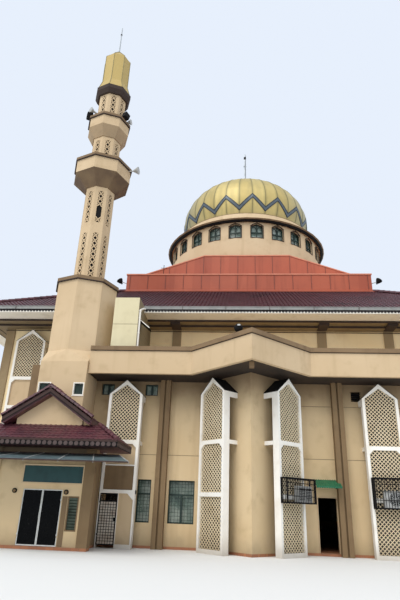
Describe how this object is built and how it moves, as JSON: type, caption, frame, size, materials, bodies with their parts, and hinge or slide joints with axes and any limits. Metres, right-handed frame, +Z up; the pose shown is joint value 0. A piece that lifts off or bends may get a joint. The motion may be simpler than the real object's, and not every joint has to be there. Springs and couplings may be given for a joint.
{
  "type": "mosque building",
  "caption": "Mosque with a gold dome on a windowed drum, tiled hipped roof, pointed mihrab prow with lattice screens, octagonal minaret and a gabled entrance porch",
  "frame": {"origin": "on the level floor, at the foot of the dome's vertical axis, in the middle of the hall", "axes": "+Z up; the front with the prow, the porch and the minaret looks towards -Y; the minaret stands on the -X side"},
  "size_m": [29.04, 33.72, 31.23],
  "materials": {
    "floor_tile": "floor tiles",
    "cream_render": "painted cement render",
    "brown_paint": "painted cement render",
    "white_paint": "painted precast concrete and boards",
    "dark_paint": "painted bars",
    "green_sheet": "painted corrugated sheet",
    "roof_tile": "glazed roof tiles",
    "sheet_cladding": "painted sheet with standing seams",
    "pane": "clear, slightly tinted",
    "gold_skin": "satin gold sheet",
    "bare_steel": "brushed",
    "awning_sheet": "translucent sheet",
    "sign_paint": "painted, plain"
  },
  "bodies": {
    "building": {"floor_slab": "floor_tile", "hall_wall_front": "cream_render", "hall_wall_back": "cream_render", "hall_wall_left": "cream_render", "hall_wall_right": "cream_render", "hall_beam_and_pilasters": "brown_paint", "front_wall_left": "cream_render", "front_wall_over_side_door": "cream_render", "front_wall_right": "cream_render", "prow_wall": "cream_render", "front_end_wall": "cream_render", "canopy": "cream_render", "canopy_coping": "brown_paint", "column_left": "brown_paint", "column_right": "brown_paint", "column_end": "brown_paint", "screen_right": "white_paint", "screen_prow_left": "white_paint", "screen_prow_right": "white_paint", "screen_wing": "white_paint", "screen_entrance": "white_paint", "cage_prow": "dark_paint", "cage_right": "dark_paint", "awning_green": "green_sheet", "main_roof": "roof_tile", "eave_soffit": "white_paint", "tier_lower": "sheet_cladding", "tier_upper": "sheet_cladding", "drum_wall_front": "cream_render", "drum_wall_back": "cream_render", "drum_glass": "pane", "drum_cornice": "cream_render", "dome": "gold_skin", "dome_finial": "bare_steel", "minaret_block": "cream_render", "minaret_side_pier": "brown_paint", "minaret_base": "cream_render", "minaret_shaft": "cream_render", "minaret_balcony_lower": "cream_render", "minaret_balcony_upper": "cream_render", "minaret_cap": "gold_skin", "minaret_mast": "bare_steel", "stair_block": "cream_render", "porch_wall_right": "cream_render", "porch_wall_left": "cream_render", "porch_door_head": "cream_render", "porch_skirt_roof": "roof_tile", "porch_gable_roof": "roof_tile", "porch_gable_wall": "cream_render", "porch_awning": "awning_sheet", "sign_board": "sign_paint", "glass_front": "pane", "glass_hall": "pane"},
    "side_door": {"side_door_grille": "white_paint"},
    "porch_leaf_left": {"porch_door_left": "bare_steel"},
    "porch_leaf_right": {"porch_door_right": "bare_steel"}
  },
  "joints": [
    {"name": "side_door_hinge", "type": "hinge", "parent": "building", "child": "side_door", "pos_m": [-5.926, -15.557, 1.05], "axis": [0, 0, -1], "range_deg": [0, 90]},
    {"name": "porch_door_left_hinge", "type": "hinge", "parent": "building", "child": "porch_leaf_left", "pos_m": [-8.336, -17.317, 1.05], "axis": [0, 0, -1], "range_deg": [0, 90]},
    {"name": "porch_door_right_hinge", "type": "hinge", "parent": "building", "child": "porch_leaf_right", "pos_m": [-6.864, -17.317, 1.05], "axis": [0, 0, 1], "range_deg": [0, 90]}
  ]
}
